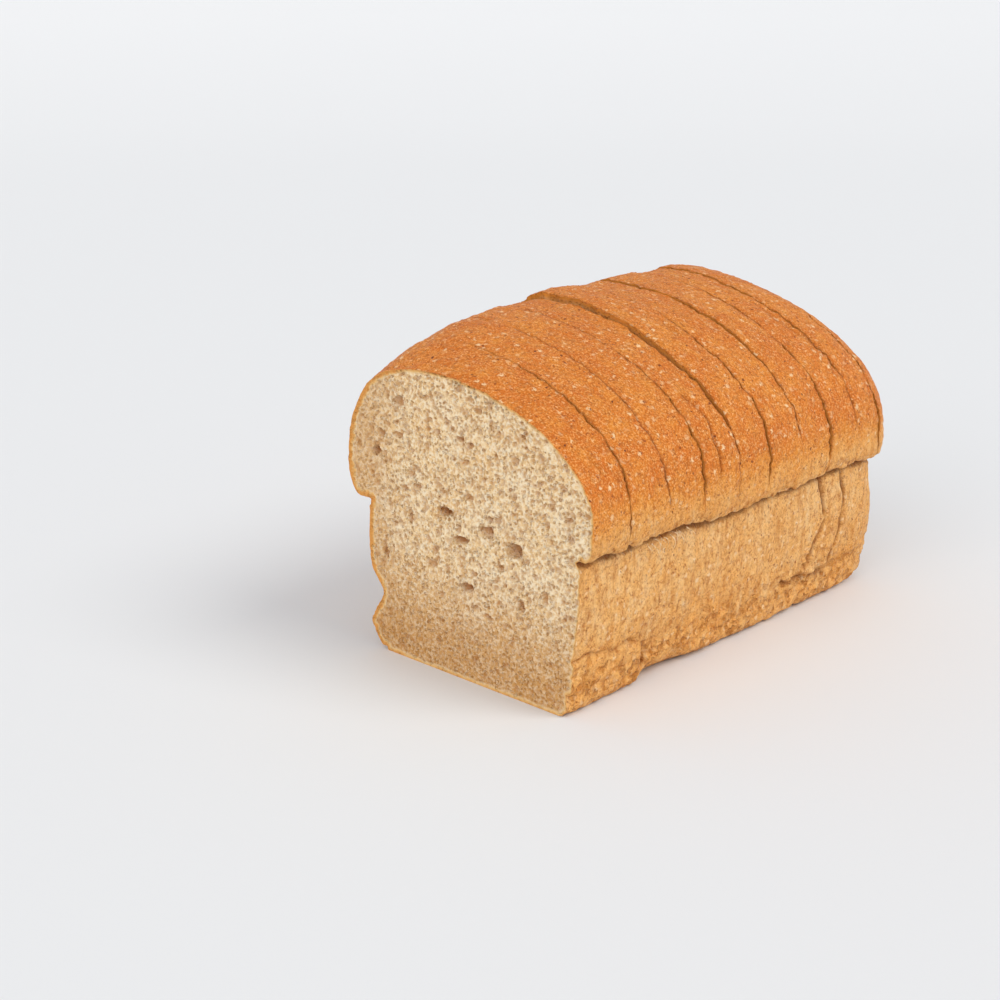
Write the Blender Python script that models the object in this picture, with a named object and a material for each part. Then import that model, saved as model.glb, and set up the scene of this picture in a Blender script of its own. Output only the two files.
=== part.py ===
"""A small sliced tin loaf of brown bread, standing on its base.

The loaf was cut square across by a slicing machine. Nine slices and the rear heel still
stand together and keep the whole loaf's shape. The front is an open cut face.

Frame, in metres: X runs across the loaf, Y along it from the cut face to the heel, and
+Z is up. The origin is at the middle of the floor under the loaf.

The body is one surface. A section across the loaf has a flat base, two walls that lean
out as a bread tin does, a lip where the dough rose over the rim, and a lopsided domed
top. Towards the rear every section shrinks about one line, which rounds the heel.
"""

import math

import bpy
import numpy as np

# Slicing: the first slices are equal, and the last two before the heel came off thinner
SLICE_PITCH = 0.0170
EQUAL_SLICES = 7
LAST_CUTS = (0.1340, 0.1495)
CUTS = [number * SLICE_PITCH for number in range(EQUAL_SLICES + 1)] + list(LAST_CUTS)
SLICE_COUNT = len(CUTS) - 1
CUT_GAP = 0.0003

# The part baked inside the tin
FOOT_HALF_WIDTH = 0.0390
RIM_HALF_WIDTH = 0.0430
FOOT_RADIUS = 0.0045
WALL_BOW_HEIGHT = 0.0350
RIM_HEIGHT = 0.0460

# The part that rose over the rim
BULGE_RIGHT = 0.0475
BULGE_LEFT = 0.0520
BULGE_HEIGHT = 0.0590
TOP_FRONT = 0.0925
TOP_MIDDLE = 0.1042
TOP_RISE_LENGTH = 0.0245
APEX_FRONT = -0.0170
APEX_MIDDLE = -0.0315
DOME_POWER_RIGHT = 1.89
DOME_POWER_LEFT = 2.30

# The left wall is pinched in above its foot near the cut face
PINCH_DEPTH = 0.0040
PINCH_HEIGHT = 0.0190
PINCH_SPREAD = 0.0050
FOOT_FLARE = 0.0030
FLARE_HEIGHT = 0.0080
PINCH_LENGTH = 0.0450

# The rounded rear end
END_START = 0.1285
END_DOME = 0.1695
END_TIN = 0.1660
END_RIM = 0.1590
END_TIN_HEIGHT = 0.0200
END_POWER_DOME = 3.6
END_POWER_TIN = 6.0
END_CENTRE_HEIGHT = 0.0450

# Small steps between slices: how far each stands to the right, and how much it is
# stretched upwards above the rim
SIDE_STEPS = (0.0, 0.0002, -0.0002, 0.0003, -0.0007, -0.0004, -0.0008, -0.0003, -0.0009, -0.0004)
STRETCH_STEPS = (0.0, 0.0, -0.004, -0.012, 0.020, 0.008, 0.018, 0.008, 0.016, 0.0)

# Points round a section, for each of its stretches from the middle of the base up one side
BASE_POINTS = 4
FOOT_POINTS = 3
WALL_POINTS = 6
LIP_POINTS = 6
DOME_POINTS = 18
STATIONS = 3
HEEL_RINGS = 9
HEEL_RING_POWER = 1.7

CRUST_COLOUR = (0.47, 0.19, 0.055, 1.0)
CRUST_ROUGHNESS = 0.55
CRUMB_COLOUR = (0.68, 0.58, 0.42, 1.0)
CRUMB_ROUGHNESS = 0.95
SMOOTH_ANGLE = math.radians(40)


def risen(front, middle, y):
    """A size that changes from its value at the cut face to its value in mid loaf."""
    return middle + (front - middle) * math.exp(-y / TOP_RISE_LENGTH)


def half_section(side, y):
    """Points from the middle of the base, up one side (+1 right, -1 left), to the apex."""
    bulge = BULGE_RIGHT if side > 0 else BULGE_LEFT
    power = DOME_POWER_RIGHT if side > 0 else DOME_POWER_LEFT
    apex = side * risen(APEX_FRONT, APEX_MIDDLE, y)
    top = risen(TOP_FRONT, TOP_MIDDLE, y)

    base = np.linspace(0.0, FOOT_HALF_WIDTH - FOOT_RADIUS, BASE_POINTS, endpoint=False)
    base = np.column_stack([base, np.zeros(BASE_POINTS)])

    turn = np.linspace(0.0, math.pi / 2, FOOT_POINTS, endpoint=False)
    foot_x = FOOT_HALF_WIDTH - FOOT_RADIUS + FOOT_RADIUS * np.sin(turn)
    foot = np.column_stack([foot_x, FOOT_RADIUS - FOOT_RADIUS * np.cos(turn)])

    wall_z = np.linspace(FOOT_RADIUS, RIM_HEIGHT, WALL_POINTS, endpoint=False)
    bow = np.sin(math.pi / 2 * np.minimum((wall_z - FOOT_RADIUS) / WALL_BOW_HEIGHT, 1.0))
    wall = np.column_stack([FOOT_HALF_WIDTH + (RIM_HALF_WIDTH - FOOT_HALF_WIDTH) * bow, wall_z])

    turn = np.linspace(0.0, math.pi / 2, LIP_POINTS, endpoint=False)
    lip_x = RIM_HALF_WIDTH + (bulge - RIM_HALF_WIDTH) * np.sin(turn)
    lip = np.column_stack([lip_x, BULGE_HEIGHT - (BULGE_HEIGHT - RIM_HEIGHT) * np.cos(turn)])

    turn = np.linspace(0.0, math.pi / 2, DOME_POINTS)
    dome_x = apex + (bulge - apex) * np.cos(turn).clip(0.0) ** (2 / power)
    dome_z = BULGE_HEIGHT + (top - BULGE_HEIGHT) * np.sin(turn) ** (2 / power)
    dome = np.column_stack([dome_x, dome_z])

    points = np.vstack([base, foot, wall, lip, dome])
    if side < 0:
        fade = math.exp(-y / PINCH_LENGTH)
        pinch = PINCH_DEPTH * np.exp(-(((points[:, 1] - PINCH_HEIGHT) / PINCH_SPREAD) ** 2))
        flare = FOOT_FLARE * np.exp(-(((points[:, 1] - FLARE_HEIGHT) / PINCH_SPREAD) ** 2))
        on_wall = points[:, 0] > FOOT_HALF_WIDTH - FOOT_RADIUS
        points[:, 0] += fade * on_wall * (flare - pinch)
    points[:, 0] *= side
    return points


def section(y):
    """The whole outline at y, anticlockwise as seen from the cut face, before the end rounding."""
    right = half_section(+1, y)
    left = half_section(-1, y)
    # The apex and the middle of the base belong to the right half.
    return np.vstack([right, left[-2:0:-1]])


def eased(z, low, high):
    """0 below low, 1 above high, and a smooth step between them."""
    part = np.clip((z - low) / (high - low), 0.0, 1.0)
    return part * part * (3 - 2 * part)


def end_shape(z):
    """How far back the loaf reaches at height z, and the power of its corner's curve."""
    rim = eased(z, END_TIN_HEIGHT, RIM_HEIGHT)
    dome = eased(z, RIM_HEIGHT, BULGE_HEIGHT)
    reach = END_TIN + (END_RIM - END_TIN) * rim + (END_DOME - END_RIM) * dome
    return reach, END_POWER_TIN + (END_POWER_DOME - END_POWER_TIN) * dome


def shrink(z, y):
    """The factor by which a point at height z of the section comes in at y: a superellipse."""
    reach, power = end_shape(z)
    along = np.clip((y - END_START) / (reach - END_START), 0.0, 1.0)
    return (1 - along**power) ** (1 / power)


def placed(outline, factor, y, number):
    """The outline scaled about the end's centre line, then stepped as its slice is, as (n, 3)."""
    x = outline[:, 0] * factor + SIDE_STEPS[number]
    z = END_CENTRE_HEIGHT + (outline[:, 1] - END_CENTRE_HEIGHT) * factor
    z = z + np.clip(z - RIM_HEIGHT, 0.0, None) * STRETCH_STEPS[number]
    return np.column_stack([x, np.broadcast_to(y, x.shape), z])


def slice_rings(number):
    """The rings of one slice, front to back."""
    front = CUTS[number] + (CUT_GAP / 2 if number else 0.0)
    back = CUTS[number + 1] - CUT_GAP / 2
    rings = []
    for y in np.linspace(front, back, STATIONS):
        outline = section(y)
        rings.append(placed(outline, shrink(outline[:, 1], y), y, number))
    return rings


def heel_rings(number):
    """The rings of the heel, from its cut face to a small last ring round the end's centre."""
    front = CUTS[number] + CUT_GAP / 2
    outline = section(front)
    start = shrink(outline[:, 1], front)
    rings = []
    for step in range(HEEL_RINGS):
        inward = 1 - (step / HEEL_RINGS) ** HEEL_RING_POWER
        height = END_CENTRE_HEIGHT + (outline[:, 1] - END_CENTRE_HEIGHT) * inward
        reach, power = end_shape(height)
        factor = start * inward
        y = END_START + (reach - END_START) * (1 - factor**power) ** (1 / power)
        rings.append(placed(outline, factor, y, number))
    return rings


def make_material(name, colour, roughness):
    material = bpy.data.materials.new(name)
    material.use_nodes = True
    shader = material.node_tree.nodes["Principled BSDF"]
    shader.inputs["Base Color"].default_value = colour
    shader.inputs["Roughness"].default_value = roughness
    shader.inputs["Metallic"].default_value = 0.0
    return material


def make_piece(name, rings, collection):
    """One closed body: a wall of quads through the rings, closed by a flat face at each end."""
    around = len(rings[0])
    index = np.arange(len(rings) * around).reshape(len(rings), around)
    ahead = np.roll(index, -1, axis=1)
    walls = np.stack([index[:-1], index[1:], ahead[1:], ahead[:-1]], axis=-1).reshape(-1, 4)
    faces = walls.tolist() + [index[0].tolist(), index[-1, ::-1].tolist()]

    mesh = bpy.data.meshes.new(name)
    mesh.from_pydata(np.vstack(rings).tolist(), [], faces)
    mesh.materials.append(make_material(name + "_crust", CRUST_COLOUR, CRUST_ROUGHNESS))
    mesh.materials.append(make_material(name + "_crumb", CRUMB_COLOUR, CRUMB_ROUGHNESS))
    for cut_face in mesh.polygons[len(walls):]:
        cut_face.material_index = 1
    mesh.shade_smooth()
    mesh.set_sharp_from_angle(angle=SMOOTH_ANGLE)
    piece = bpy.data.objects.new(name, mesh)
    collection.objects.link(piece)
    return piece


def main():
    for obj in list(bpy.data.objects):
        bpy.data.objects.remove(obj, do_unlink=True)
    loaf = bpy.data.collections.new("sliced_tin_loaf")
    bpy.context.scene.collection.children.link(loaf)

    pieces = {f"slice_{number + 1:02d}": slice_rings(number) for number in range(SLICE_COUNT)}
    pieces["heel"] = heel_rings(SLICE_COUNT)

    # The origin goes to the middle of the box on the floor.
    points = np.vstack([ring for rings in pieces.values() for ring in rings])
    middle = (points.min(axis=0) + points.max(axis=0)) / 2
    middle[2] = points[:, 2].min()
    for name, rings in pieces.items():
        make_piece(name, [ring - middle for ring in rings], loaf)


main()
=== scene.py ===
"""The looks of a small sliced loaf of brown tin bread, standing on its base.

Lengths are in metres, and X runs across the loaf, Y from the open cut face to the heel, +Z up.
Every skin starts as the loaf's own surface, a section carried along the loaf, and then gets
its relief as a movement along the surface's normal. The relief is a function of place, so it
runs on from slice to slice.
"""

import math

import bpy
import numpy as np
from mathutils import Matrix, Vector


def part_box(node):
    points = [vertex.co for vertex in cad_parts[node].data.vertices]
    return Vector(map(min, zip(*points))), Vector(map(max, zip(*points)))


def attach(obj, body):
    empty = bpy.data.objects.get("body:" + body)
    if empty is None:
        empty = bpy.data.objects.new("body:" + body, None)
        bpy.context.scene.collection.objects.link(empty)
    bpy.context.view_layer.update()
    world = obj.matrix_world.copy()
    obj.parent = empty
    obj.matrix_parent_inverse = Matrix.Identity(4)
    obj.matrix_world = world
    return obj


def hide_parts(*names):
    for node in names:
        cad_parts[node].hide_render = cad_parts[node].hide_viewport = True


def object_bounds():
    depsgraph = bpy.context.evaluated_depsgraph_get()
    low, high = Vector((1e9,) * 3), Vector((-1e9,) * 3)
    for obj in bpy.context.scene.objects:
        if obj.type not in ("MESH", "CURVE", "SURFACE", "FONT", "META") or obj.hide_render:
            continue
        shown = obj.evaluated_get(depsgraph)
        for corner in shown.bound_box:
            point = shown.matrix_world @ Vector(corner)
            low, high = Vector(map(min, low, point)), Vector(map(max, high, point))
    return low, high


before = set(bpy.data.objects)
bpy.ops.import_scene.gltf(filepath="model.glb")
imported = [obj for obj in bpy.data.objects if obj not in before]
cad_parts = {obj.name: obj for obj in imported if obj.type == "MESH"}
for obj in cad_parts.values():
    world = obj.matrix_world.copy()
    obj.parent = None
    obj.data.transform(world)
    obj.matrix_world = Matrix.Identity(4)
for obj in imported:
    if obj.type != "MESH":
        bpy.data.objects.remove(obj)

CAD_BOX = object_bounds()
MM = 0.001

# ---------------------------------------------------------------- the loaf's own sizes

FOOT_HALF_WIDTH = 0.0390
RIM_HALF_WIDTH = 0.0430
FOOT_RADIUS = 0.0045
WALL_BOW_HEIGHT = 0.0350
RIM_HEIGHT = 0.0460

BULGE_RIGHT = 0.0475
BULGE_LEFT = 0.0520
BULGE_HEIGHT = 0.0590
TOP_FRONT = 0.0925
TOP_MIDDLE = 0.1042
TOP_RISE_LENGTH = 0.0245
APEX_FRONT = -0.0170
APEX_MIDDLE = -0.0315
DOME_POWER_RIGHT = 1.89
DOME_POWER_LEFT = 2.30

PINCH_DEPTH = 0.0040
PINCH_HEIGHT = 0.0190
PINCH_SPREAD = 0.0050
FOOT_FLARE = 0.0030
FLARE_HEIGHT = 0.0080
PINCH_LENGTH = 0.0450

END_START = 0.1285
END_DOME = 0.1695
END_TIN = 0.1660
END_RIM = 0.1590
END_TIN_HEIGHT = 0.0200
END_POWER_DOME = 3.6
END_POWER_TIN = 6.0
END_CENTRE_HEIGHT = 0.0450
HEEL_RING_POWER = 1.7

SIDE_STEPS = (0.0, 0.0002, -0.0002, 0.0003, -0.0007, -0.0004, -0.0008, -0.0003, -0.0009, -0.0004)
STRETCH_STEPS = (0.0, 0.0, -0.004, -0.012, 0.020, 0.008, 0.018, 0.008, 0.016, 0.0)

# ---------------------------------------------------------------- where the frame puts it

SLICES = sorted(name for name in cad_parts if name.startswith("slice_"))
NODES = SLICES + ["heel"]
FRONT_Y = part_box(SLICES[0])[0].y
CENTRE_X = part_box(SLICES[0])[0].x + BULGE_LEFT
CUTS = [0.0]
for before, behind in zip(NODES[:-1], NODES[1:]):
    CUTS.append((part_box(before)[1].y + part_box(behind)[0].y) / 2 - FRONT_Y)
PLACE = np.array([CENTRE_X, FRONT_Y, 0.0])

# How each cut after the front shows: how wide it stands open over the top and down the right
# side, and how far down it can be seen, in millimetres.
OPENINGS = (
    (0.22, 0.46, 51.0),
    (0.36, 0.50, 55.0),
    (0.46, 0.34, 56.0),
    (1.70, 0.95, 51.0),
    (0.85, 0.62, 52.0),
    (0.62, 0.80, 62.0),
    (0.66, 0.60, 53.0),
    (0.34, 0.85, 60.0),
    (0.85, 1.00, 46.0),
)
TIGHT_GAP = 0.008 * MM
SLOW_WAVE = 0.70 * MM
SLOW_WAVE_SIZE = 22 * MM
GAP_WAVE = 0.60 * MM
GAP_WAVE_SIZE = 5.5 * MM
ROLL_WIDTH = 1.1 * MM
ROLL_DEPTH = 0.96
SHIFT_WIDTH = 2.75 * MM
SHADE_WIDTH = 0.34 * MM
CUT_TEAR = 0.45 * MM
CUT_TEAR_SIZE = 1.3 * MM
CUT_TEAR_WIDTH = 0.8 * MM


# ---------------------------------------------------------------- noise worked out with numpy

HASH_START = 374761
HASH_ODDS = (73856093, 19349663, 83492791)
HASH_STIRS = (np.uint32(2246822519), np.uint32(3266489917))


def hashed(cells, seed):
    """A fixed random number from 0 to 1 for each whole-numbered cell: its numbers are
    multiplied by large odd ones, and stirred together by exclusive-or, shifts and products."""
    mix = np.full(cells.shape[:-1], HASH_START * (seed + 11), np.uint32)
    for axis, odd in enumerate(HASH_ODDS[: cells.shape[-1]]):
        mix = mix ^ (cells[..., axis].astype(np.int64) * odd).astype(np.uint32)
        mix = (mix ^ (mix >> np.uint32(15))) * HASH_STIRS[0]
    mix = (mix ^ (mix >> np.uint32(13))) * HASH_STIRS[1]
    return (mix ^ (mix >> np.uint32(16))).astype(np.float64) / 2**32


def clouds(points, size, seed):
    """Smooth noise from -1 to 1: the hashed values at the corners of a lattice whose cells
    are size across, blended by the curve 6t^5 - 15t^4 + 10t^3 along each axis."""
    scaled = points / size
    low = np.floor(scaled)
    part = scaled - low
    part = part * part * part * (part * (part * 6 - 15) + 10)
    total = 0.0
    axes = points.shape[-1]
    for corner in range(2**axes):
        step = np.array([(corner >> axis) & 1 for axis in range(axes)])
        weight = np.prod(np.where(step == 1, part, 1 - part), axis=-1)
        total = total + weight * hashed(low + step, seed)
    return total * 2 - 1


def rough(points, size, seed, octaves=3):
    """Clouds added at halving sizes and halving heights."""
    return sum(clouds(points, size / 2**i, seed + 7 * i) / 2**i for i in range(octaves))


def eased(value, low, high):
    """0 below low, 1 above high, and the smooth step 3t^2 - 2t^3 between them."""
    part = np.clip((value - low) / (high - low), 0.0, 1.0)
    return part * part * (3 - 2 * part)


def bump(value, centre, spread):
    """A bell: e to the minus ((value - centre) / spread) squared."""
    return np.exp(-(((value - centre) / spread) ** 2))


# ---------------------------------------------------------------- the loaf's surface


def risen(front, middle, y):
    """A size that goes from front at the cut face to middle, as e to the minus y / length."""
    return middle + (front - middle) * np.exp(-y / TOP_RISE_LENGTH)


def half_section(side, y, counts):
    """x and z of one side's outline, from the end of the flat base to the apex, for a column
    of y. In turn: a quarter circle at the foot, a wall bowed as a sine, a quarter ellipse
    out to the bulge, and a quarter superellipse to the apex. side is +1 right or -1 left."""
    foot_count, wall_count, lip_count, dome_count = counts
    bulge = BULGE_RIGHT if side > 0 else BULGE_LEFT
    power = DOME_POWER_RIGHT if side > 0 else DOME_POWER_LEFT
    apex = side * risen(APEX_FRONT, APEX_MIDDLE, y)
    top = risen(TOP_FRONT, TOP_MIDDLE, y)

    turn = np.linspace(0.0, math.pi / 2, foot_count, endpoint=False)
    foot_x = FOOT_HALF_WIDTH - FOOT_RADIUS + FOOT_RADIUS * np.sin(turn)
    foot_z = FOOT_RADIUS - FOOT_RADIUS * np.cos(turn)

    wall_z = np.linspace(FOOT_RADIUS, RIM_HEIGHT, wall_count, endpoint=False)
    bow = np.sin(math.pi / 2 * np.minimum((wall_z - FOOT_RADIUS) / WALL_BOW_HEIGHT, 1.0))
    wall_x = FOOT_HALF_WIDTH + (RIM_HALF_WIDTH - FOOT_HALF_WIDTH) * bow

    turn = np.linspace(0.0, math.pi / 2, lip_count, endpoint=False)
    lip_x = RIM_HALF_WIDTH + (bulge - RIM_HALF_WIDTH) * np.sin(turn)
    lip_z = BULGE_HEIGHT - (BULGE_HEIGHT - RIM_HEIGHT) * np.cos(turn)

    turn = np.linspace(0.0, math.pi / 2, dome_count)
    dome_x = apex + (bulge - apex) * np.cos(turn).clip(0.0) ** (2 / power)
    dome_z = BULGE_HEIGHT + (top - BULGE_HEIGHT) * np.sin(turn) ** (2 / power)

    low_x = np.concatenate([foot_x, wall_x, lip_x])
    low_z = np.concatenate([foot_z, wall_z, lip_z])
    rows = len(y)
    x = np.hstack([np.broadcast_to(low_x, (rows, len(low_x))), dome_x])
    z = np.hstack([np.broadcast_to(low_z, (rows, len(low_z))), dome_z])
    if side < 0:
        dent = FOOT_FLARE * bump(z, FLARE_HEIGHT, PINCH_SPREAD)
        dent = dent - PINCH_DEPTH * bump(z, PINCH_HEIGHT, PINCH_SPREAD)
        x = x + dent * np.exp(-y / PINCH_LENGTH)
    return side * x, z


def section(y, counts, base_count):
    """x and z of the whole outline for a column of y: the flat base from left to right, up
    the right side to the apex, and down the left side. The apex belongs to the right."""
    right_x, right_z = half_section(+1, y, counts)
    left_x, left_z = half_section(-1, y, counts)
    share = np.linspace(0.0, 1.0, base_count + 1)[None, 1:-1]
    base_x = left_x[:, :1] + (right_x[:, :1] - left_x[:, :1]) * share
    x = np.hstack([base_x, right_x, left_x[:, -2::-1]])
    z = np.hstack([np.zeros_like(base_x), right_z, left_z[:, -2::-1]])
    return x, z


def end_shape(z):
    """How far back the loaf reaches at height z, and the power of its corner's curve: eased
    steps from the tin's end wall to the rim, and from the rim to the dome."""
    rim = eased(z, END_TIN_HEIGHT, RIM_HEIGHT)
    dome = eased(z, RIM_HEIGHT, BULGE_HEIGHT)
    reach = END_TIN + (END_RIM - END_TIN) * rim + (END_DOME - END_RIM) * dome
    return reach, END_POWER_TIN + (END_POWER_DOME - END_POWER_TIN) * dome


def shrink(z, y):
    """How far a point at height z comes in at y: (1 - t^p)^(1/p), a superellipse's fall."""
    reach, power = end_shape(z)
    along = np.clip((y - END_START) / (reach - END_START), 0.0, 1.0)
    return (1 - along**power) ** (1 / power)


def skin(y, counts, base_count):
    """The loaf's surface as an array of rows (one for each y) by points round by 3."""
    y = np.asarray(y, float)[:, None]
    x, z = section(y, counts, base_count)
    factor = shrink(z, y)
    z = END_CENTRE_HEIGHT + (z - END_CENTRE_HEIGHT) * factor
    return np.stack([x * factor, np.broadcast_to(y, x.shape), z], axis=-1)


def heel_skin(front, rings, counts, base_count):
    """The heel's surface: the section at front, scaled about the end's centre line by a share
    that falls from 1 to 0, and carried back to where the end's superellipse has that share."""
    x, z = section(np.array([[front]]), counts, base_count)
    start = shrink(z, front)
    inward = 1 - (np.arange(rings)[:, None] / rings) ** HEEL_RING_POWER
    height = END_CENTRE_HEIGHT + (z - END_CENTRE_HEIGHT) * inward
    reach, power = end_shape(height)
    factor = start * inward
    y = END_START + (reach - END_START) * (1 - factor**power) ** (1 / power)
    z = END_CENTRE_HEIGHT + (z - END_CENTRE_HEIGHT) * factor
    return np.stack([x * factor, y, z], axis=-1)


def normals_of(rounded, ahead):
    """Unit normals from the way round the section and the way along the loaf."""
    around = np.roll(rounded, -1, axis=1) - np.roll(rounded, 1, axis=1)
    normal = np.cross(ahead, around)
    return normal / np.maximum(np.linalg.norm(normal, axis=-1, keepdims=True), 1e-12)


# ---------------------------------------------------------------- relief of the crust

SWELL = 0.42 * MM
SWELL_SIZE = 24 * MM
RIPPLE = 0.22 * MM
RIPPLE_SIZE = 7 * MM
PEBBLE = 0.17 * MM
PEBBLE_SIZE = 1.9 * MM
STREAK = 0.16 * MM
STREAK_SIZE = np.array([6.0, 2.6, 17.0]) * MM
DIMPLE = 0.55 * MM
DIMPLE_SIZE = 2.4 * MM
LIP_TEAR = 0.55 * MM
LIP_TEAR_SIZE = 2.6 * MM
INSET = 0.48 * MM
LIP_DROOP = 0.55 * MM
LIP_CREASE = 1.45 * MM
CRUMPLE = 1.15 * MM
CRUMPLE_SIZE = np.array([4.0, 5.5, 3.2]) * MM


def above_rim(point):
    """0 on the wall, 1 on the dome."""
    return eased(point[..., 2], RIM_HEIGHT - 0.5 * MM, RIM_HEIGHT + 3 * MM)


def crust_relief(point):
    """How far out of the smooth surface the crust stands, in metres: slow swells and ripples
    everywhere, pebbled skin on the dome, upright streaks and dimples on the wall, and a torn
    edge along the lip. All of it is sunk by one small inset."""
    dome = above_rim(point)
    low = 1 - eased(point[..., 2], 6 * MM, 24 * MM)
    height = SWELL * clouds(point, SWELL_SIZE, 3) - INSET
    height = height + RIPPLE * clouds(point, RIPPLE_SIZE, 5)
    height = height + PEBBLE * (0.5 + 0.5 * dome) * rough(point, PEBBLE_SIZE, 8)
    height = height + (1 - dome) * STREAK * rough(point / STREAK_SIZE, 1.0, 14, 2)
    dimple = np.minimum(rough(point, DIMPLE_SIZE, 21, 2), 0.15)
    height = height + (1 - dome) * DIMPLE * (0.3 + 0.9 * low) * dimple
    torn = bump(point[..., 2], RIM_HEIGHT + 1.5 * MM, 2.6 * MM)
    height = height + torn * LIP_TEAR * rough(point, LIP_TEAR_SIZE, 31, 3)
    height = height + LIP_DROOP * dome * bump(point[..., 2], RIM_HEIGHT + 4 * MM, 4 * MM)
    return height - LIP_CREASE * rim_crease(point)


def rim_crease(point):
    """The sharp fold under the lip, as a bell across the rim's height."""
    return bump(point[..., 2], RIM_HEIGHT + 0.1 * MM, 0.72 * MM)


def foot_relief(point):
    """What the tin left along the right foot: a pad that stands proud at the front, a pleat
    between two folds near the heel, and crumpled skin below it, whose ridges are one minus
    the size of a noise."""
    y, z = point[..., 1], point[..., 2]
    right = eased(point[..., 0], 20 * MM, 34 * MM)
    pad = (1 - eased(y, 29 * MM, 34 * MM)) * (1 - eased(z, 13 * MM, 17.5 * MM))
    pleat = bump(y, 128 * MM, 6.0 * MM) * eased(z, 14 * MM, 22 * MM) * (1 - above_rim(point))
    patch = bump(y, 121 * MM, 20 * MM) * bump(z, 12 * MM, 9 * MM)
    low = (1 - eased(z, 9 * MM, 22 * MM)) * eased(z, 0.5 * MM, 3 * MM)
    ridges = 1 - 2.2 * np.abs(rough(point / CRUMPLE_SIZE, 1.0, 37, 2))
    height = 0.75 * MM * pad + 0.9 * MM * pleat
    height = height + CRUMPLE * np.maximum(patch, 0.42 * low) * ridges
    return right * height


def foot_lift(point):
    """How far the right foot is off the board: a low arch behind the front pad, which fades
    towards the middle of the underside and up the wall."""
    y = point[..., 1]
    arch = 2.6 * MM * eased(y, 32 * MM, 37 * MM) * (1 - eased(y, 42 * MM, 66 * MM))
    edge = eased(point[..., 0], 29 * MM, 38 * MM) * (1 - eased(point[..., 2], 1 * MM, 12 * MM))
    return arch * edge


def rim_wave(point):
    """How far the rim lies above its mean height: two slow waves and a ragged one."""
    y = point[..., 1]
    wave = 0.7 * np.sin(y / (17 * MM) + 0.4) + 0.45 * np.sin(y / (7.3 * MM) + 1.9)
    wave = wave + 0.5 * clouds(point * np.array([1.0, 1.0, 0.0]), 3.2 * MM, 44)
    return wave * MM * bump(point[..., 2], RIM_HEIGHT + 1 * MM, 7 * MM)


# Grooves pressed into the crust: where each starts and ends along the loaf and in height, how
# deep and how wide it is, in millimetres. All of them are on the right side.
GROOVES = (
    ((60.0, 80.5), (59.0, 60.0), 1.10, 0.60),
    ((56.0, 84.0), (60.0, 80.0), 0.70, 0.60),
    ((8.0, 76.0), (9.5, 71.5), 0.50, 0.45),
    ((14.0, 68.5), (15.5, 67.5), 0.45, 0.90),
    ((79.0, 97.0), (81.0, 95.5), 0.50, 1.00),
    ((129.0, 96.0), (135.5, 84.0), 0.45, 1.2),
    ((119.0, 46.5), (124.0, 32.0), 1.60, 0.80),
    ((124.0, 32.0), (117.0, 14.0), 1.40, 0.85),
    ((132.0, 46.5), (135.5, 31.0), 2.10, 0.85),
    ((135.5, 31.0), (131.0, 13.0), 1.90, 0.90),
    ((-2.0, 17.5), (14.0, 17.0), 0.80, 0.65),
    ((14.0, 17.0), (28.0, 16.0), 0.70, 0.75),
    ((30.0, 16.0), (34.5, 4.0), 1.00, 1.00),
    ((103.0, 13.5), (117.0, 12.0), 1.30, 0.85),
    ((117.0, 12.0), (130.0, 10.0), 1.30, 0.90),
)


def groove_depth(point):
    """Depth of the grooves at each point: for each, a bell across the straight line between
    its ends in the plane of Y and Z, bent by noise and faded at the ends."""
    plane = point[..., 1:] + 1.1 * MM * np.stack(
        [clouds(point, 6 * MM, 51), clouds(point, 6 * MM, 52)], axis=-1
    )
    depth = np.zeros(point.shape[:-1])
    for start, end, deep, wide in GROOVES:
        start, end = np.array(start) * MM, np.array(end) * MM
        run = end - start
        share = np.clip(((plane - start) @ run) / (run @ run), 0.0, 1.0)
        away = np.linalg.norm(plane - start - share[..., None] * run, axis=-1)
        fade = eased(share, 0.0, 0.12) * eased(1 - share, 0.0, 0.12)
        line = np.exp(-((away / (wide * MM)) ** 2)) * (0.25 + 0.75 * fade)
        depth = np.maximum(depth, deep * MM * line)
    return depth * (point[..., 0] > 0)


# ---------------------------------------------------------------- the cuts between slices


def cut_wave(point, cut):
    """How far the knife wandered from its plane, the same for both slices that it parted."""
    flat = point * np.array([1.0, 0.0, 1.0]) + cut
    slow = SLOW_WAVE * clouds(flat, SLOW_WAVE_SIZE, 65) * above_rim(point)
    return slow + GAP_WAVE * rough(flat, GAP_WAVE_SIZE, 61, 3)


def cut_opening(point, cut):
    """Half the width of a cut's gap: its top and side widths blended over the shoulder,
    closed below its lowest height, and made uneven by noise."""
    top, side, lowest = OPENINGS[cut - 1]
    shoulder = eased(point[..., 0], 12 * MM, 34 * MM)
    width = top + (side - top) * shoulder
    closed = eased(point[..., 2], (lowest - 2) * MM, (lowest + 7) * MM)
    uneven = np.clip(0.9 + 0.9 * rough(point + cut, 10 * MM, 71, 3), 0.08, 1.6)
    left = 1 - 0.5 * eased(-point[..., 0], 30 * MM, 48 * MM)
    return TIGHT_GAP + width * MM * closed * uneven * left / 2


def stepped(point, number):
    """The slice's own step to the side and its stretch, which act above the rim."""
    moved = point.copy()
    above = np.clip(point[..., 2] - RIM_HEIGHT, 0.0, None)
    moved[..., 0] += SIDE_STEPS[number] * eased(point[..., 2], RIM_HEIGHT, BULGE_HEIGHT)
    moved[..., 2] += above * STRETCH_STEPS[number]
    return moved


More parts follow.
